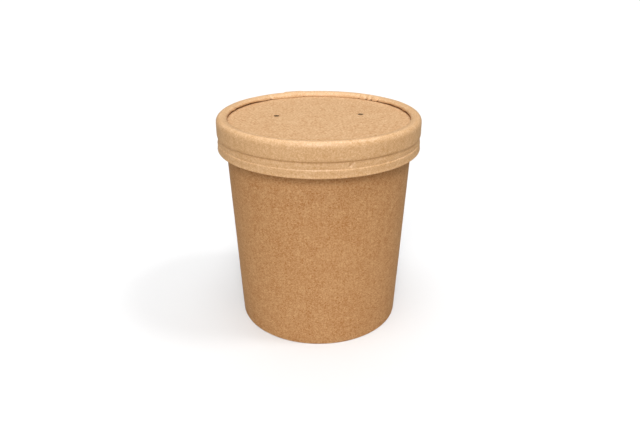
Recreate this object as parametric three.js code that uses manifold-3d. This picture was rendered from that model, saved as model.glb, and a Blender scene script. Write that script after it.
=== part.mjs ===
// A takeaway soup container of brown kraft board: a tapered cup, shut with a flat lid of the same board.
// Millimetres, +Z up. The origin is the centre of the foot, on the surface that the container stands on.
// The container is shut and can't be seen into, so the cup is one solid up to just under its rim.
import * as THREE from "three";
import { mergeVertices } from "three/addons/utils/BufferGeometryUtils.js";
import Module from "manifold-3d";

const wasm = await Module();
wasm.setup();

// The cup: its foot, its rolled rim and its height.
const FOOT_RADIUS = 41.85;
const RIM_RADIUS = 49;
const CUP_HEIGHT = 104.5;
const CURL_RADIUS = 1.3; // the board is rolled outwards into a round rim
const CURL_TUCK = 50; // degrees past straight down where the curl meets the wall
const RIM_INSIDE = RIM_RADIUS - 2 * CURL_RADIUS;
const WALL_AT_RIM = RIM_INSIDE + 0.45; // the wall's outer face, just under the curl
const HEADSPACE = 3.5; // from the rim's top down to the solid's

// The foot: the wall is folded in and up round the base panel, which leaves a shallow recess below.
const HEM_THICKNESS = 1.4;
const HEM_ROUNDING = 0.4;
const RECESS_DEPTH = 7.5;
const BASE_THICKNESS = 0.5;

// The lid: a skirt with a rolled bead on top, and a flat panel set below the bead.
const LID_RADIUS = 50.5;
const LID_TOP = 108.25;
const LID_BOTTOM = 92.2;
const SKIRT_INSIDE = RIM_RADIUS + 0.3; // pushed down over the cup's rim
const BEAD_WIDTH = 5.1;
const BEAD_CREST = 2.1; // how far the bead's highest line lies inside the skirt's outer face
const BEAD_DROP = 1.95; // from the bead's top down to the straight skirt
const LIP_HEIGHT = 106.9; // where the bead is rolled in furthest, and turns back under itself
const LIP_UNDERCUT = 1.1;
const PANEL_TOP = 105.6;
const PANEL_THICKNESS = 0.8;

// Two rings are pressed into the skirt: a shallow groove, and the step above the folded lower hem.
const GROOVE_HEIGHT = 99.1;
const GROOVE_RADIUS = LID_RADIUS - 0.6;
const GROOVE_HALF_WIDTH = 0.95;
const WAIST_RADIUS = LID_RADIUS - 0.45; // between the groove and the hem
const HEM_RADIUS = LID_RADIUS - 0.1;
const HEM_INSIDE = RIM_RADIUS - 0.1;
const HEM_TOP = 95.6;
const STEP_RISE = 0.5; // from the hem's top up to the waist, outside
const FOLD_RISE = 1; // the layer folded up inside ends this far above the hem's top

// Two round steam vents on one line across the panel.
const VENT_RADIUS = 1.1;
const VENT_SPACING = 42.5;
const VENT_LINE = 5.1; // from the panel's centre towards the back
const VENT_TURN = 4.2; // degrees

// Each board wall is a strip whose ends overlap and are glued, one board thickness proud.
const BOARD = 0.35;
const CUP_SEAM = 100; // degrees round from +X, at the back
const LID_SEAM = 112;
const OVERLAP_COLUMNS = 2;
const CUT_EDGE = 0.3; // degrees that the cut edge of the strip takes up

const GAP = 0.3; // between pieces that touch
const COLUMNS = 73; // 72 even ones, and the narrow one of a cut edge
const CURL_STEPS = 12;
const BEAD_STEPS = 6;
const LIP_STEPS = 5;
const HEM_STEPS = 3;
const VENT_SIDES = 20;

const degrees = THREE.MathUtils.degToRad;

// Points [radius, height] on an ellipse, from one angle to another, in degrees from straight out.
function arc(centreRadius, centreHeight, across, up, from, to, steps) {
  return Array.from({ length: steps + 1 }, (_, i) => {
    const angle = degrees(from + ((to - from) * i) / steps);
    return [centreRadius + across * Math.cos(angle), centreHeight + up * Math.sin(angle)];
  });
}

// How much of a board thickness a column stands proud. Column 0 is the last of the overlap,
// and the column before the overlap is halfway up to it.
function proud(column) {
  const back = (COLUMNS - column) % COLUMNS;
  if (back <= OVERLAP_COLUMNS) return 1;
  return back === OVERLAP_COLUMNS + 1 ? 1 / 2 : 0;
}

// Turns an outline about +Z. It runs up the outside of the piece, from axis to axis or closed on itself.
// The points from skin.from up to skin.to are the wall's outer face, which stands proud along its overlap.
function turned(outline, skin = { from: 0, to: 0, azimuth: 0 }) {
  const points = outline.map(([radius, height]) => new THREE.Vector2(radius, height));
  const geometry = new THREE.LatheGeometry(points, COLUMNS);
  const position = geometry.getAttribute("position");
  const evenTurn = (2 * Math.PI - degrees(CUT_EDGE)) / (COLUMNS - 1);
  for (let column = 0; column <= COLUMNS; column++) {
    const turn = column === 0 ? 0 : degrees(CUT_EDGE) + (column - 1) * evenTurn;
    for (let j = 0; j < points.length; j++) {
      const place = points[j].clone();
      if (j >= skin.from && j < skin.to) {
        const along = points[j + 1].clone().sub(points[Math.max(j - 1, 0)]).normalize();
        place.add(new THREE.Vector2(along.y, -along.x).multiplyScalar(BOARD * proud(column % COLUMNS)));
      }
      const vertex = column * points.length + j;
      position.setXYZ(vertex, place.x * Math.sin(turn), place.y, place.x * Math.cos(turn));
    }
  }
  geometry.rotateX(Math.PI / 2);
  geometry.rotateZ(Math.PI / 2 + degrees(skin.azimuth));
  return geometry;
}

function toSolid(geometry) {
  const bare = geometry.clone();
  bare.deleteAttribute("normal");
  bare.deleteAttribute("uv");
  const merged = mergeVertices(bare, 1e-4);
  return new wasm.Manifold(new wasm.Mesh({
    numProp: 3,
    vertProperties: merged.getAttribute("position").array,
    triVerts: new Uint32Array(merged.index.array),
  }));
}

function toGeometry(solid) {
  const mesh = solid.getMesh();
  const geometry = new THREE.BufferGeometry();
  geometry.setAttribute("position", new THREE.BufferAttribute(mesh.vertProperties, 3));
  geometry.setIndex(new THREE.BufferAttribute(mesh.triVerts, 1));
  return geometry;
}

// The cup: the recess and hem below, the tapered wall with its overlap, the rolled rim, and the fill.
function cupBody() {
  const hemInside = FOOT_RADIUS - HEM_THICKNESS;
  const curlCentre = RIM_RADIUS - CURL_RADIUS;
  const curlHeight = CUP_HEIGHT - CURL_RADIUS;
  const below = [
    [0, RECESS_DEPTH],
    [hemInside, RECESS_DEPTH],
    [hemInside, HEM_ROUNDING],
    [hemInside + HEM_ROUNDING, 0],
    [FOOT_RADIUS - HEM_ROUNDING, 0],
  ];
  const wall = [
    [FOOT_RADIUS, HEM_ROUNDING],
    [WALL_AT_RIM, curlHeight - CURL_RADIUS],
  ];
  const rim = [
    ...arc(curlCentre, curlHeight, CURL_RADIUS, CURL_RADIUS, -90 - CURL_TUCK, 180, CURL_STEPS),
    [RIM_INSIDE, CUP_HEIGHT - HEADSPACE],
    [0, CUP_HEIGHT - HEADSPACE],
  ];
  return turned([...below, ...wall, ...rim], {
    from: below.length,
    to: below.length + wall.length,
    azimuth: CUP_SEAM,
  });
}

// The base panel, a plain disc of board glued inside the foot.
function basePanel() {
  const radius = FOOT_RADIUS - HEM_THICKNESS - GAP;
  const top = RECESS_DEPTH - GAP;
  return turned([[0, top - BASE_THICKNESS], [radius, top - BASE_THICKNESS], [radius, top], [0, top]]);
}

// The lid's wall: folded hem, step, groove and straight skirt, then the bead rolled in over the panel.
function lidBand() {
  const hemMiddle = (HEM_RADIUS + HEM_INSIDE) / 2;
  const hemHalf = (HEM_RADIUS - HEM_INSIDE) / 2;
  const crest = LID_RADIUS - BEAD_CREST;
  const lipInside = LID_RADIUS - BEAD_WIDTH;
  const underBead = PANEL_TOP + GAP;
  const outside = [
    ...arc(hemMiddle, LID_BOTTOM + hemHalf, hemHalf, hemHalf, 270, 360, HEM_STEPS),
    [HEM_RADIUS, HEM_TOP],
    [WAIST_RADIUS, HEM_TOP + STEP_RISE],
    [WAIST_RADIUS, GROOVE_HEIGHT - GROOVE_HALF_WIDTH],
    [GROOVE_RADIUS, GROOVE_HEIGHT],
    [LID_RADIUS, GROOVE_HEIGHT + GROOVE_HALF_WIDTH],
    ...arc(crest, LID_TOP - BEAD_DROP, BEAD_CREST, BEAD_DROP, 0, 90, BEAD_STEPS),
  ];
  const inside = [
    ...arc(crest, LIP_HEIGHT, crest - lipInside, LID_TOP - LIP_HEIGHT, 90, 180, LIP_STEPS).slice(1),
    [lipInside + LIP_UNDERCUT, underBead],
    [SKIRT_INSIDE, underBead],
    [SKIRT_INSIDE, HEM_TOP + FOLD_RISE],
    ...arc(hemMiddle, LID_BOTTOM + hemHalf, hemHalf, hemHalf, 180, 270, HEM_STEPS),
  ];
  return turned([...outside, ...inside], { from: 1, to: outside.length, azimuth: LID_SEAM });
}

// The lid's flat panel, with the vents punched through it.
function lidPanel() {
  const radius = SKIRT_INSIDE - GAP;
  const bottom = PANEL_TOP - PANEL_THICKNESS;
  const punch = 4 * PANEL_THICKNESS;
  const turn = degrees(VENT_TURN);
  let panel = toSolid(turned([[0, bottom], [radius, bottom], [radius, PANEL_TOP], [0, PANEL_TOP]]));
  for (const side of [-1, 1]) {
    const vent = new THREE.CylinderGeometry(VENT_RADIUS, VENT_RADIUS, punch, VENT_SIDES);
    vent.rotateX(Math.PI / 2);
    vent.translate(
      (side * VENT_SPACING * Math.cos(turn)) / 2,
      VENT_LINE + (side * VENT_SPACING * Math.sin(turn)) / 2,
      PANEL_TOP,
    );
    panel = panel.subtract(toSolid(vent));
  }
  return toGeometry(panel);
}

function kraft(colour) {
  return new THREE.MeshStandardMaterial({ color: colour, roughness: 0.85, metalness: 0 });
}

function named(name, geometry, material) {
  const mesh = new THREE.Mesh(geometry, material);
  mesh.name = name;
  return mesh;
}

const cup = new THREE.Group();
cup.add(named("cup_body", cupBody(), kraft("#bf8e5f")));
cup.add(named("cup_base", basePanel(), kraft("#bf8e5f")));

const lid = new THREE.Group();
lid.add(named("lid_band", lidBand(), kraft("#daae80")));
lid.add(named("lid_panel", lidPanel(), kraft("#dfb589")));

const container = new THREE.Group();
container.add(cup, lid);

export default container;
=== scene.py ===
# A takeaway soup container of kraft board: a tapered cup, shut with a flat lid. Metres, +Z up.
import math

import bpy
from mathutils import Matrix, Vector, noise


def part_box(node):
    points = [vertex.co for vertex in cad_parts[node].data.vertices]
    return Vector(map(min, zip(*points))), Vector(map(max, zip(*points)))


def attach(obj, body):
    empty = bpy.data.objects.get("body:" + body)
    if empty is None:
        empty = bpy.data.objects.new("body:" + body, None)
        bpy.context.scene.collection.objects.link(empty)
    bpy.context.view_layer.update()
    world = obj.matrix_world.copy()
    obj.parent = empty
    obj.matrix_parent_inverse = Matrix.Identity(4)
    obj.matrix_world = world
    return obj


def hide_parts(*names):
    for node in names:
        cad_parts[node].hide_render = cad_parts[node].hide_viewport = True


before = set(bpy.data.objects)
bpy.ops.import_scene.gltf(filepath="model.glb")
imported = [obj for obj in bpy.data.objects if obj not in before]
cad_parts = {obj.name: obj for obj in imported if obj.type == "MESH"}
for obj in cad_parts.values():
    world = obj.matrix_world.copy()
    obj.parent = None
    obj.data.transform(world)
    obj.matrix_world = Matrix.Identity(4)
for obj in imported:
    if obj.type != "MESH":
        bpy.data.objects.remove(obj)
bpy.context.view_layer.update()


# The cup's wall
# A strip of brown kraft board, wound into a cone and glued where its ends lap, at the back. Its top is rolled
# outwards into a rim, and its foot is folded in and up round the base panel and pinched by a ribbed wheel.
MM = 0.001
BOARD = 0.35 * MM
GAP = 0.3 * MM  # between pieces that touch
SAME_POINT = 0.01 * MM  # points of a section that are nearer than this are one
FOOT_RADIUS = 41.85 * MM
RIM_RADIUS = 49 * MM
RIM_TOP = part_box("cup_body")[1].z
CURL_RADIUS = 1.3 * MM
WALL_AT_CURL = RIM_RADIUS - 2 * CURL_RADIUS + BOARD
FOOT_HEM = 1.4 * MM  # from the wall's outer face to the folded layer's inner face
FOOT_ROUNDING = 0.4 * MM
PANEL_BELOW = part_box("cup_base")[0].z
HEM_END = PANEL_BELOW - GAP
CUP_SEAM = 100  # degrees round from +X
CUP_LAP = 8  # degrees that the ends lap
RAMP = 5  # degrees over which the outer end climbs onto the inner one
GLUE = 0.03 * MM  # between the two ends
CUP_COLUMNS = 540
CUP_LAP_OUT = (0.5 * MM, 4 * MM)  # heights between which the lap changes from sunk to proud
RIB_DEPTH = 0.09 * MM
RIB_REACH = 0.1 * MM  # outwards from the folded layer's inner face, for the points that are ribbed
RIB_ENDS = (0.8 * MM, 1.6 * MM)  # heights between which the ribs begin
CUP_DENT = 0.12 * MM
CUP_DENTS_FULL = 12 * MM  # the height from which the wall is as uneven as it gets


def arc(centre, across, up, start, end, steps):
    """Points (radius, height) along a round stretch of a section, from one angle to another, in degrees."""
    angles = [math.radians(start + (end - start) * i / steps) for i in range(steps + 1)]
    return [(centre[0] + across * math.cos(a), centre[1] + up * math.sin(a)) for a in angles]


def straight(start, end, steps):
    """Points along a straight stretch of a section."""
    shares = [i / steps for i in range(steps + 1)]
    return [(start[0] + (end[0] - start[0]) * s, start[1] + (end[1] - start[1]) * s) for s in shares]


def smooth(value, low, high):
    """0 up to low, 1 from high on, and an S-shaped rise between them."""
    share = min(max((value - low) / (high - low), 0), 1)
    return share * share * (3 - 2 * share)


def wander(place, tightness):
    """A smooth random value, 0 to 1, that changes faster along a surface the tighter it is."""
    return (1 + noise.noise(place * tightness)) / 2


def apply_modifier(piece, kind, **settings):
    """Adds a modifier with its settings and applies it."""
    modifier = piece.modifiers.new(kind.lower(), kind)
    for setting, value in settings.items():
        setattr(modifier, setting, value)
    bpy.context.view_layer.objects.active = piece
    bpy.ops.object.modifier_apply(modifier=modifier.name)


def wound(name, section, start, turn, columns):
    """Draws a section (radius, height, slant) point by point and winds it round the axis, as one skin."""
    places = []
    for radius, height, slant in section:
        azimuth = math.radians(start + slant)
        place = Vector((radius * math.cos(azimuth), radius * math.sin(azimuth), height))
        if not places or (place - places[-1]).length > SAME_POINT:
            places.append(place)
    bpy.ops.object.select_all(action="DESELECT")
    bpy.ops.mesh.primitive_plane_add(size=MM)
    piece = bpy.context.object
    piece.name = name
    bpy.ops.object.mode_set(mode="EDIT")
    bpy.ops.mesh.merge(type="CENTER")
    bpy.ops.transform.translate(value=places[0])
    for before, after in zip(places, places[1:]):
        bpy.ops.mesh.extrude_vertices_move(TRANSFORM_OT_translate={"value": after - before})
    bpy.ops.object.mode_set(mode="OBJECT")
    apply_modifier(piece, "SCREW", angle=math.radians(turn), steps=columns, render_steps=columns)
    turns = piece.data.attributes.new("turn", "FLOAT", "POINT")
    for vertex in piece.data.vertices:
        turns.data[vertex.index].value = vertex.index // len(places) * turn / columns
    return piece


def lift(piece, distance, share, direction="NORMAL"):
    """Moves each point of a skin along its normal, or along Z, by distance times share(turn, place)."""
    turns = [turn.value for turn in piece.data.attributes["turn"].data]
    places = [vertex.co.copy() for vertex in piece.data.vertices]
    group = piece.vertex_groups.new(name="lifted")
    for index, place in enumerate(places):
        group.add([index], share(turns[index], place), "REPLACE")
    settings = {"strength": distance, "mid_level": 0, "vertex_group": group.name, "direction": direction}
    apply_modifier(piece, "DISPLACE", **settings)
    piece.vertex_groups.clear()


def lap_ends(piece, lap, outer_share):
    """Parts the two ends of a strip by a board's thickness. outer_share(place) of it lifts the outer end,
    and the rest sinks the inner one."""
    def outer_end(turn, place):
        return smooth(turn, 360 - RAMP, 360) * outer_share(place)

    def inner_end(turn, place):
        return (1 - smooth(turn, lap, lap + RAMP)) * (1 - outer_share(place))

    lift(piece, BOARD + GLUE, outer_end)
    lift(piece, -BOARD - GLUE, inner_end)


def point_outwards(piece, height):
    """Turns the faces of an open skin so that its outermost one at a height points away from the axis."""
    near = 3 * MM
    there = [face for face in piece.data.polygons if abs(face.center.z - height) < near]
    outermost = max(there, key=lambda face: face.center.xy.length)
    if outermost.normal.xy.dot(outermost.center.xy) < 0:
        piece.data.flip_normals()


def board_thick(piece, thickness):
    """Gives a skin its board, on the side that its faces point away from."""
    apply_modifier(piece, "SOLIDIFY", thickness=thickness, offset=-1)
    piece.data.attributes.remove(piece.data.attributes["turn"])


curl_centre = (RIM_RADIUS - CURL_RADIUS, RIM_TOP - CURL_RADIUS)
curl_inside = CURL_RADIUS - BOARD
hem_inside = FOOT_RADIUS - FOOT_HEM
hem_section = [
    *straight((hem_inside, HEM_END), (hem_inside, FOOT_ROUNDING), 6),
    *arc((hem_inside + FOOT_ROUNDING, FOOT_ROUNDING), FOOT_ROUNDING, FOOT_ROUNDING, 180, 270, 4),
    *arc((FOOT_RADIUS - FOOT_ROUNDING, FOOT_ROUNDING), FOOT_ROUNDING, FOOT_ROUNDING, 270, 360, 5),
]
wall_section = straight((FOOT_RADIUS, FOOT_ROUNDING), (WALL_AT_CURL, curl_centre[1]), 22)
curl_section = arc(curl_centre, curl_inside, curl_inside, 180, -150, 18)
cup_wall = wound(
    "cup_wall",
    [(radius, height, 0) for radius, height in hem_section + wall_section + curl_section],
    CUP_SEAM - CUP_LAP,
    360 + CUP_LAP,
    CUP_COLUMNS,
)
point_outwards(cup_wall, RIM_TOP / 2)

# The lap is lifted out on the wall, and sunk into the fold at the foot, which stays flat to stand on.
lap_ends(cup_wall, CUP_LAP, lambda place: smooth(place.z, *CUP_LAP_OUT))


def rib(turn, place):
    """1 in every second column of the folded layer inside the foot, away from its ends."""
    inside = place.xy.length < hem_inside + RIB_REACH
    column = round(turn * CUP_COLUMNS / (360 + CUP_LAP))
    return (column % 2) * inside * smooth(place.z, *RIB_ENDS)


def dented(turn, place):
    """The wall isn't quite round above its foot."""
    return wander(place, 35) * smooth(place.z, 0, CUP_DENTS_FULL)


lift(cup_wall, -RIB_DEPTH, rib)
lift(cup_wall, CUP_DENT, dented)
board_thick(cup_wall, BOARD)


class Shade:
    """A node's output. Python's operators on it add the Math nodes of an expression."""

    def __init__(self, finish, socket):
        self.finish = finish
        self.socket = socket

    def maths(self, operation, first, second=0.0):
        return self.finish.node("Math", {"operation": operation}, {0: first, 1: second})

    def __add__(self, other):
        return self.maths("ADD", self, other)

    __radd__ = __add__

    def __sub__(self, other):
        return self.maths("SUBTRACT", self, other)

    def __mul__(self, other):
        return self.maths("MULTIPLY", self, other)


class Finish:
    """A material that is being put together from nodes."""

    def __init__(self, name):
        self.material = bpy.data.materials.new(name)
        self.material.use_nodes = True
        self.tree = self.material.node_tree
        self.tree.nodes.clear()

    def node(self, kind, settings, inputs, output=0):
        """Adds a node: first its settings, then the value or the link of each socket."""
        made = self.tree.nodes.new("ShaderNode" + kind)
        for name, value in settings.items():
            setattr(made, name, value)
        for name, value in inputs.items():
            if isinstance(value, Shade):
                self.tree.links.new(value.socket, made.inputs[name])
            else:
                made.inputs[name].default_value = value
        return Shade(self, made.outputs[output]) if made.outputs else None

    def mottle(self, place, size, detail):
        """Noise between about -1 and 1, with patches of about that size."""
        noise_at = {"Vector": place, "Scale": 1 / size, "Detail": detail}
        return (self.node("TexNoise", {}, noise_at) - 0.5) * 2.0

    def between(self, value, low, high):
        """0 where value is low, 1 where it is high, with a smooth rise between them."""
        settings = {"interpolation_type": "SMOOTHSTEP", "clamp": True}
        return self.node("MapRange", settings, {"Value": value, "From Min": low, "From Max": high})

    def blend(self, share, first, second):
        """Mixes two colours."""
        settings = {"data_type": "RGBA", "blend_type": "MIX"}
        return self.node("Mix", settings, {"Factor": share, 6: first, 7: second}, 2)


# The sizes of what the board is mottled with. The ways that its fibres lie are turns about X and Z.
STREAK_WIDTH = 1.1 * MM
STREAK_LENGTH = 12  # times its width
CLOUD_SIZE = 9 * MM
PULP_SIZE = 2.2 * MM
GRAIN_SIZE = 0.8 * MM
FIBRE_WIDTH = 0.45 * MM
FIBRE_LENGTH = 6  # times its width
FIBRE_TURNS = ((54.7, 45), (54.7, 135), (54.7, 225), (54.7, 315))
FIBRE_SHIFT = 10 * MM  # from one way's fibres to the next's, so that they don't repeat each other
BUMP_DEPTH = 0.03 * MM


def fibres(finish, place, width, number):
    """The fibres that lie one way: streaks of that width, between about -1 and 1."""
    across, about = FIBRE_TURNS[number]
    turned = finish.node(
        "Mapping",
        {"vector_type": "TEXTURE"},
        {
            "Vector": place,
            "Location": (number * FIBRE_SHIFT, 0, 0),
            "Rotation": (math.radians(across), 0, math.radians(about)),
            "Scale": (1, 1, FIBRE_LENGTH),
        },
    )
    return finish.mottle(turned, width, 1)


def scaled(colour, factor):
    """A colour made paler or deeper."""
    return [factor * part for part in colour[:3]] + [1]


def kraft(name, dark, light, coarse, roughness, gloss):
    """Unbleached kraft board: clouded pulp full of short pale and dark fibres, and a little uneven.
    coarse is the size of its grain next to the cup's, and gloss is how strongly its face shines."""
    finish = Finish(name)
    place = finish.node("TexCoord", {}, {}, "Object")
    upright = {"Vector": place, "Scale": (1, 1, STREAK_LENGTH)}
    drawn_out = finish.node("Mapping", {"vector_type": "TEXTURE"}, upright)
    streaks = finish.mottle(drawn_out, STREAK_WIDTH, 2)
    cloud = finish.mottle(place, CLOUD_SIZE, 3)
    pulp = finish.mottle(place, PULP_SIZE * coarse, 3)
    grain = finish.mottle(place, GRAIN_SIZE * coarse, 3)
    strands = [fibres(finish, place, FIBRE_WIDTH * coarse, number) for number in range(len(FIBRE_TURNS))]
    weave = strands[0] + strands[1] + strands[2] + strands[3]

    # The pulp's own colour, then the palest fibres of two ways and the darkest of the other two.
    tone = 0.5 + cloud * 0.15 + streaks * 0.15 + pulp * 0.2 + grain * 0.45 + weave * 0.4
    colour = finish.blend(tone, dark, light)
    pale = finish.between(strands[0], 0.42, 0.7) + finish.between(strands[1], 0.42, 0.7)
    colour = finish.blend(pale * 0.5, colour, scaled(light, 1.3))
    deep = finish.between(strands[2], 0.5, 0.75) + finish.between(strands[3], 0.5, 0.75)
    colour = finish.blend(deep * 0.4, colour, scaled(dark, 0.6))

    height = grain * 0.5 + pulp * 0.3 + weave * 0.3
    bump = finish.node("Bump", {}, {"Strength": 0.6, "Distance": BUMP_DEPTH, "Height": height})
    surface = finish.node("BsdfPrincipled", {}, {
        "Base Color": colour,
        "Roughness": roughness + pulp * 0.05,
        "Specular IOR Level": gloss,
        "Normal": bump,
    })
    finish.node("OutputMaterial", {}, {"Surface": surface})
    return finish.material


CUT_EDGE_ANGLE = 40  # degrees from which an edge between two faces stays sharp


def finished(piece, material, slot, *nodes):
    """Shades a piece smooth but for its cut edges, gives it its material, and sets it on the container."""
    bpy.ops.object.select_all(action="DESELECT")
    piece.select_set(True)
    bpy.context.view_layer.objects.active = piece
    bpy.ops.object.transform_apply(location=True, rotation=True, scale=True)
    bpy.ops.object.shade_smooth_by_angle(angle=math.radians(CUT_EDGE_ANGLE))
    piece.data.materials.append(material)
    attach(piece, "root")
    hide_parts(*nodes)


CUP_DARK = (0.388, 0.150, 0.036, 1)
CUP_LIGHT = (0.678, 0.419, 0.213, 1)
cup_kraft = kraft("cup_kraft", CUP_DARK, CUP_LIGHT, coarse=1, roughness=0.5, gloss=0.5)
finished(cup_wall, cup_kraft, "cup_kraft", "cup_body")


# The cup's base panel
# A disc of the same board, set up inside the foot. Its edge is turned down between the two layers of the
# foot's hem and glued there.
BASE_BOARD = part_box("cup_base")[1].z - PANEL_BELOW
FLANGE_CLEAR = 0.1 * MM  # from the folded layer to the edge that is turned down
FLANGE_RADIUS = FOOT_RADIUS - FOOT_HEM + BOARD + FLANGE_CLEAR
FLANGE_END = 1.2 * MM
FLANGE_BEND = 0.3 * MM
MIDDLE_RADIUS = 3 * MM  # of the single face in the middle of a disc
DISC_COLUMNS = 180


def ringed(name, section):
    """A disc that grows from a small middle outwards, ring by ring, through the points of its section."""
    radius, height = section[0]
    bpy.ops.object.select_all(action="DESELECT")
    bpy.ops.mesh.primitive_circle_add(
        vertices=DISC_COLUMNS, radius=radius, fill_type="NGON", location=(0, 0, height),
    )
    piece = bpy.context.object
    piece.name = name
    bpy.ops.object.mode_set(mode="EDIT")
    bpy.ops.mesh.select_all(action="SELECT")
    bpy.ops.mesh.region_to_loop()
    for next_radius, next_height in section[1:]:
        bpy.ops.mesh.extrude_edges_move(TRANSFORM_OT_translate={"value": (0, 0, next_height - height)})
        grown = next_radius / radius
        bpy.ops.transform.resize(value=(grown, grown, 1), center_override=(0, 0, next_height))
        radius, height = next_radius, next_height
    bpy.ops.mesh.select_all(action="SELECT")
    bpy.ops.mesh.normals_make_consistent(inside=False)
    bpy.ops.object.mode_set(mode="OBJECT")
    return piece


bend_radius = FLANGE_RADIUS - FLANGE_BEND
base_section = [
    *straight((MIDDLE_RADIUS, PANEL_BELOW), (bend_radius, PANEL_BELOW), 12),
    *arc((bend_radius, PANEL_BELOW - FLANGE_BEND), FLANGE_BEND, FLANGE_BEND, 90, 0, 4)[1:],
    (FLANGE_RADIUS, FLANGE_END),
]
cup_floor = ringed("cup_floor", base_section)
apply_modifier(cup_floor, "SOLIDIFY", thickness=BASE_BOARD, offset=1)
finished(cup_floor, cup_kraft, "cup_kraft", "cup_base")


# The lid's band
# A strip of paler kraft board, folded up inside itself at its lower edge. A groove and the step above the
# hem are pressed into it, and its top is rolled in over the panel as a bead. The ends lap at the back, on the
# left.
LID_RADIUS = 50.5 * MM
LID_HEIGHT = 16.05 * MM
LID_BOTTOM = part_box("lid_band")[0].z
LID_TOP = LID_BOTTOM + LID_HEIGHT
PANEL_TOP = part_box("lid_panel")[1].z
GROOVE_HEIGHT = 99.1 * MM
GROOVE_RADIUS = LID_RADIUS - 0.7 * MM
GROOVE_HALF = 0.85 * MM  # of its height
WAIST_RADIUS = LID_RADIUS - 0.4 * MM  # between the groove and the hem
WAIST_TOP = 97.2 * MM
HEM_RADIUS = LID_RADIUS - 0.1 * MM
HEM_INSIDE = RIM_RADIUS - 0.1 * MM
HEM_TOP = 95.6 * MM
HEM_ROUNDING = 0.35 * MM
HEM_FLARE = 0.16 * MM  # how far its lower edge stands out
FLARE_RISE = 1 * MM  # height that the flare takes up
STEP_RISE = 0.5 * MM  # from the hem's top up to the waist
FOLD_RISE = 1 * MM  # the layer folded up inside eases back this far above the hem
SKIRT_INSIDE = RIM_RADIUS + GAP
BEAD_CREST = 2.1 * MM  # from the skirt's face in to the bead's highest line
BEAD_DROP = 2.5 * MM  # from the bead's top down to the straight skirt
BEAD_WIDTH = 5.1 * MM  # from the skirt's face in to the bead's lip
ROLL_CLEAR = 0.5 * MM  # from the panel up to the roll's underside, where it stands clear
LID_SEAM = 110.4  # degrees round from +X
LID_LAP = 9  # degrees that the ends lap
LAYERS = (49.5 * MM, 49.9 * MM)  # radii between which the inner layer ends and the outer one begins
SEAM_SLANT = 7  # degrees that the seam leans over, from the bead's outside to its lip
LID_COLUMNS = 680


def eased(start, end, steps):
    """Points along an S-shaped stretch of a section, which leaves and arrives upright."""
    shares = [i / steps for i in range(steps + 1)]
    return [
        (start[0] + (end[0] - start[0]) * smooth(s, 0, 1), start[1] + (end[1] - start[1]) * s)
        for s in shares
    ]


def azimuth_of(place):
    """Where a place lies, in degrees round from +X, 0 to 360."""
    return math.degrees(math.atan2(place.y, place.x)) % 360


crest_radius = LID_RADIUS - BEAD_CREST
lip_radius = LID_RADIUS - BEAD_WIDTH
lip_height = (LID_TOP + PANEL_TOP) / 2
under_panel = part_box("lid_panel")[0].z - GAP
groove_high = GROOVE_HEIGHT + GROOVE_HALF
fold_height = LID_BOTTOM + HEM_ROUNDING
flare_radius = HEM_RADIUS + HEM_FLARE
inner_section = [
    *straight((SKIRT_INSIDE, under_panel), (SKIRT_INSIDE, HEM_TOP + FOLD_RISE), 2),
    *eased((SKIRT_INSIDE, HEM_TOP + FOLD_RISE), (HEM_INSIDE, HEM_TOP), 3),
    *arc((HEM_INSIDE + HEM_ROUNDING, fold_height), HEM_ROUNDING, HEM_ROUNDING, 180, 270, 4),
    *arc((flare_radius - HEM_ROUNDING, fold_height), HEM_ROUNDING, HEM_ROUNDING, 270, 360, 5),
]
skirt_section = [
    *eased((flare_radius, fold_height), (HEM_RADIUS, fold_height + FLARE_RISE), 3),
    *straight((HEM_RADIUS, fold_height + FLARE_RISE), (HEM_RADIUS, HEM_TOP), 2),
    *eased((HEM_RADIUS, HEM_TOP), (WAIST_RADIUS, HEM_TOP + STEP_RISE), 5),
    *straight((WAIST_RADIUS, HEM_TOP + STEP_RISE), (WAIST_RADIUS, WAIST_TOP), 3),
    *eased((WAIST_RADIUS, WAIST_TOP), (GROOVE_RADIUS, GROOVE_HEIGHT), 6),
    *eased((GROOVE_RADIUS, GROOVE_HEIGHT), (LID_RADIUS, groove_high), 5),
    *straight((LID_RADIUS, groove_high), (LID_RADIUS, LID_TOP - BEAD_DROP), 6),
]
roll_centre = (crest_radius, lip_height)
roll_width = crest_radius - lip_radius
bead_section = [
    *arc((crest_radius, LID_TOP - BEAD_DROP), BEAD_CREST, BEAD_DROP, 0, 90, 9),
    *arc(roll_centre, roll_width, LID_TOP - lip_height, 90, 180, 9),
    *arc(roll_centre, roll_width, lip_height - PANEL_TOP - ROLL_CLEAR, 180, 270, 6),
]


def seam_slant(radius):
    """How far round the seam has leant at a radius on the bead, in degrees."""
    return SEAM_SLANT * (LID_RADIUS - radius) / BEAD_WIDTH


def outer_share(place):
    """The lap stands proud on the skirt, less so on the bead, and not at all on the folded inner layer."""
    if place.z < PANEL_TOP:
        return smooth(place.xy.length, *LAYERS)
    return 1 - smooth(place.z, PANEL_TOP, LID_TOP) / 3


lid_section = [(radius, height, 0) for radius, height in inner_section + skirt_section]
lid_section += [(radius, height, seam_slant(radius)) for radius, height in bead_section]
lid_skirt = wound("lid_skirt", lid_section, LID_SEAM - LID_LAP, 360 + LID_LAP, LID_COLUMNS)
straight_skirt = GROOVE_HEIGHT + 4 * MM
point_outwards(lid_skirt, straight_skirt)
lap_ends(lid_skirt, LID_LAP, outer_share)


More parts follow.
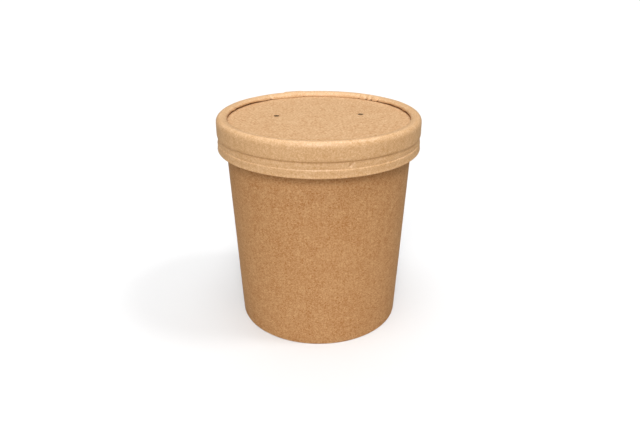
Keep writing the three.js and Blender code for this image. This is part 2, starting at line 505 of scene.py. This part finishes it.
# How the band departs from an even ring. Angles are degrees round from +X, and the front is at 270.
FRONT = 270
PRESS = 0.1  # share of the way that the roll is pressed down to the panel, all round
PRESS_BACK = 0.58  # and this much more at the back
BACK_BEGINS = (28, 54)
BACK_ENDS = (122, 144)
FRONT_RISE = 0.3 * MM
RISE_FADES = (30, 80)  # away from the front
GROOVE_FILL = 0.55 * MM
FILL_BEGINS = (38, 58)  # away from the front
FILL_ENDS = (85, 105)
LIP_WANDER = 0.4 * MM
LID_DENT = 0.16 * MM
DENT_HEIGHTS = (94 * MM, 99 * MM)  # between which the skirt becomes uneven

# Pleats where the board bunches as it is rolled in, and two bulges, which are pleats of less than no depth:
# (azimuth at the crest, lean towards the lip, depth in millimetres, half width).
PLEATS = (
    (61.3, -0.5, 0.30, 1.2),
    (57.7, -2.5, 0.56, 1.4),
    (53.6, -2.5, 0.56, 1.4),
    (45.8, -0.5, 0.44, 1.3),
    (16.0, 0.0, -0.25, 3.0),
    (94.8, 0.0, 0.20, 1.2),
    (100.6, 0.0, 0.36, 1.2),
    (125.4, 0.0, 0.56, 1.2),
    (164.0, 0.0, -0.30, 3.0),
)
PLEAT_DEEPENS = (0.1, 0.55)  # of the way from the crest to the lip

# A short slanting crease in front, on the right, from the groove down to the hem, as the azimuth and height
# of its ends.
CREASE_LOW = (285, 96.5 * MM)
CREASE_HIGH = (286.9, 99 * MM)
CREASE_DEPTH = 0.65 * MM
CREASE_FACE = 0.6  # degrees that its steep side takes up
CREASE_EASE = 2  # degrees over which it eases back


def inwardness(place):
    """0 outside the bead's crest, and up to 1 at its lip."""
    if place.z < PANEL_TOP:
        return 0
    return max((crest_radius - place.xy.length) / roll_width, 0)


def on_outer_layer(place):
    """True on the skirt's outer layer, and false on the one folded up inside."""
    return place.xy.length > SKIRT_INSIDE + BOARD / 2


def aside(place):
    """Degrees away from the front, either way. In the quarter from +X round to +Y it gives 180 and more, so
    that what fades with it has none there."""
    return abs(azimuth_of(place) - FRONT)


def pressed(turn, place):
    """The roll is pressed down towards the panel, most of all round the back."""
    azimuth = azimuth_of(place)
    most = PRESS + PRESS_BACK * smooth(azimuth, *BACK_BEGINS) * (1 - smooth(azimuth, *BACK_ENDS))
    inward = min(inwardness(place), 1)
    if inward and place.z < lip_height:
        return most * (place.z - PANEL_TOP) / (lip_height - PANEL_TOP)
    return most * (1 - math.sqrt(1 - inward * inward))


def raised(turn, place):
    """The bead stands a little higher in front."""
    return smooth(place.z, PANEL_TOP, LID_TOP) * (1 - smooth(aside(place), *RISE_FADES))


def pleat(azimuth, lean, half_width):
    """A valley that starts just inside the crest and deepens towards the lip."""
    def share(turn, place):
        inward = inwardness(place)
        off = abs(azimuth_of(place) - azimuth - lean * inward)
        return (1 - smooth(off, 0, half_width)) * smooth(inward, *PLEAT_DEEPENS)
    return share


def crease(turn, place):
    """The board to the left of the crease stands over it. To the right it eases back."""
    up = (place.z - CREASE_LOW[1]) / (CREASE_HIGH[1] - CREASE_LOW[1])
    off = azimuth_of(place) - CREASE_LOW[0] - (CREASE_HIGH[0] - CREASE_LOW[0]) * up
    across = smooth(off, -CREASE_FACE, 0) * (1 - smooth(off, 0, CREASE_EASE))
    return on_outer_layer(place) * across * smooth(up, 0, 0.3) * (1 - smooth(up, 0.8, 1))


def filled(turn, place):
    """The groove is pressed less deep at the sides."""
    near = 1 - smooth(abs(place.z - GROOVE_HEIGHT), 0, GROOVE_HALF)
    at_side = smooth(aside(place), *FILL_BEGINS) * (1 - smooth(aside(place), *FILL_ENDS))
    return on_outer_layer(place) * near * at_side


def wavy(turn, place):
    """The lip wanders a little in and out."""
    around = Vector((place.x, place.y, 0))
    return wander(around, 170) * smooth(inwardness(place), 0.5, 1)


def uneven(turn, place):
    """The skirt and the bead aren't quite round."""
    return wander(place, 60) * smooth(place.z, *DENT_HEIGHTS)


lift(lid_skirt, PANEL_TOP - lip_height, pressed, "Z")
lift(lid_skirt, FRONT_RISE, raised, "Z")
for pleat_azimuth, pleat_lean, pleat_depth, pleat_half in PLEATS:
    lift(lid_skirt, -pleat_depth * MM, pleat(pleat_azimuth, pleat_lean, pleat_half))
lift(lid_skirt, -CREASE_DEPTH, crease)
lift(lid_skirt, GROOVE_FILL, filled)
lift(lid_skirt, LIP_WANDER, wavy)
lift(lid_skirt, LID_DENT, uneven)
board_thick(lid_skirt, BOARD)
SKIRT_DARK = (0.545, 0.305, 0.128, 1)
SKIRT_LIGHT = (0.785, 0.530, 0.316, 1)
skirt_kraft = kraft("skirt_kraft", SKIRT_DARK, SKIRT_LIGHT, coarse=1, roughness=0.4, gloss=0.42)
finished(lid_skirt, skirt_kraft, "lid_kraft", "lid_band")


# The lid's panel
# A flat disc of two boards glued together, held under the bead. Two steam vents are punched through it from
# above.
PANEL_RADIUS = SKIRT_INSIDE - GAP
PANEL_BOARD = PANEL_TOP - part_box("lid_panel")[0].z
VENT_RADIUS = 1.4 * MM
VENT_FLARE = 0.8  # the hole widens downwards by this share of the depth
VENT_SPACING = 42.5 * MM
VENT_LINE = 5.1 * MM  # from the panel's centre towards the back
VENT_TURN = math.radians(4.2)  # of the line through the vents
PUNCH_OVER = 0.3 * MM  # past each face of the panel


def punch_vent(piece, x, y):
    """Cuts a round hole that widens downwards."""
    low = PANEL_TOP - PANEL_BOARD - PUNCH_OVER
    high = PANEL_TOP + PUNCH_OVER
    bpy.ops.mesh.primitive_cone_add(
        vertices=32,
        radius1=VENT_RADIUS + VENT_FLARE * (PANEL_TOP - low),
        radius2=VENT_RADIUS - VENT_FLARE * PUNCH_OVER,
        depth=high - low,
        location=(x, y, (low + high) / 2),
    )
    punch = bpy.context.object
    apply_modifier(piece, "BOOLEAN", operation="DIFFERENCE", object=punch)
    bpy.data.objects.remove(punch)


panel_section = straight((MIDDLE_RADIUS, PANEL_TOP), (PANEL_RADIUS, PANEL_TOP), 16)
lid_disc = ringed("lid_disc", panel_section)
apply_modifier(lid_disc, "SOLIDIFY", thickness=PANEL_BOARD, offset=-1)
for side in (-1, 1):
    vent_x = side * VENT_SPACING / 2 * math.cos(VENT_TURN)
    vent_y = VENT_LINE + side * VENT_SPACING / 2 * math.sin(VENT_TURN)
    punch_vent(lid_disc, vent_x, vent_y)
PANEL_DARK = (0.442, 0.213, 0.079, 1)
PANEL_LIGHT = (0.715, 0.487, 0.279, 1)
panel_kraft = kraft("panel_kraft", PANEL_DARK, PANEL_LIGHT, coarse=1.5, roughness=0.65, gloss=0.35)
finished(lid_disc, panel_kraft, "lid_kraft", "lid_panel")


# The floor and the light
# A plain white studio floor. The light is wide and soft, from in front, from overhead and from behind, with a
# narrower one from the right that throws the shadow to the left, and a weak one from the left.
FLOOR_REACH = 6.0
FLOOR_DROP = 0.05 * MM  # below the foot, so that the two don't lie in one plane
FLOOR_WHITE = (0.79, 0.795, 0.8, 1)
FLOOR_BOUNCE = (0.42, 0.34, 0.23, 1)  # darker and warmer than what is seen: the light that it throws back
WORLD_STRENGTH = 0.01

bpy.ops.object.select_all(action="DESELECT")
bpy.ops.mesh.primitive_plane_add(size=2 * FLOOR_REACH, location=(0, 0, -FLOOR_DROP))
floor = bpy.context.object
floor.name = "floor"
paper = Finish("floor_white")
seen = paper.node("BsdfDiffuse", {}, {"Color": FLOOR_WHITE})
bounced = paper.node("BsdfDiffuse", {}, {"Color": FLOOR_BOUNCE})
straight_to_lens = paper.node("LightPath", {}, {})
paper_surface = paper.node("MixShader", {}, {0: straight_to_lens, 1: bounced, 2: seen})
paper.node("OutputMaterial", {}, {"Surface": paper_surface})
floor.data.materials.append(paper.material)

world = bpy.data.worlds.new("studio")
bpy.context.scene.world = world
world.use_nodes = True
background = world.node_tree.nodes["Background"]
background.inputs["Color"].default_value = (1, 1, 1, 1)
background.inputs["Strength"].default_value = WORLD_STRENGTH


def far_light(name, azimuth, elevation, width, strength):
    """A far lamp. Its angles and the width that it is seen under are in degrees. At strength 1 it lights a
    white face that is turned to it to 1."""
    lamp = bpy.data.lights.new(name, "SUN")
    lamp.angle = math.radians(width)
    lamp.energy = math.pi * strength
    holder = bpy.data.objects.new(name, lamp)
    bpy.context.scene.collection.objects.link(holder)
    round_about = math.radians(azimuth)
    up = math.radians(elevation)
    level = math.cos(up)
    towards = Vector((math.cos(round_about) * level, math.sin(round_about) * level, math.sin(up)))
    holder.rotation_euler = towards.to_track_quat("Z", "Y").to_euler()


far_light("front", -90, 45, 20, 0.41)
far_light("front_low", -90, 28, 40, 0.37)
far_light("overhead", -90, 78, 30, 0.27)
far_light("behind", 90, 76, 60, 0.36)
far_light("right", -10, 58, 12, 0.22)
far_light("left", -150, 35, 60, 0.12)


# The camera
# It stands at the photographed distance and looks a little down on the container.
IMAGE_WIDTH = 640
FOCAL_PIXELS = 600
SENSOR_WIDTH = 36
CAMERA_PLACE = (0.6 * MM, -291.5 * MM, 183.8 * MM)
CAMERA_TILT = 24.09  # degrees down from level
camera_data = bpy.data.cameras.new("camera")
camera_data.sensor_width = SENSOR_WIDTH
camera_data.lens = SENSOR_WIDTH * FOCAL_PIXELS / IMAGE_WIDTH
camera = bpy.data.objects.new("camera", camera_data)
bpy.context.scene.collection.objects.link(camera)
camera.location = CAMERA_PLACE
camera.rotation_euler = (math.radians(90 - CAMERA_TILT), 0, 0)
camera_data.clip_start = 0.01
camera_data.clip_end = 50
bpy.context.scene.camera = camera
bpy.context.scene.view_settings.view_transform = "Standard"
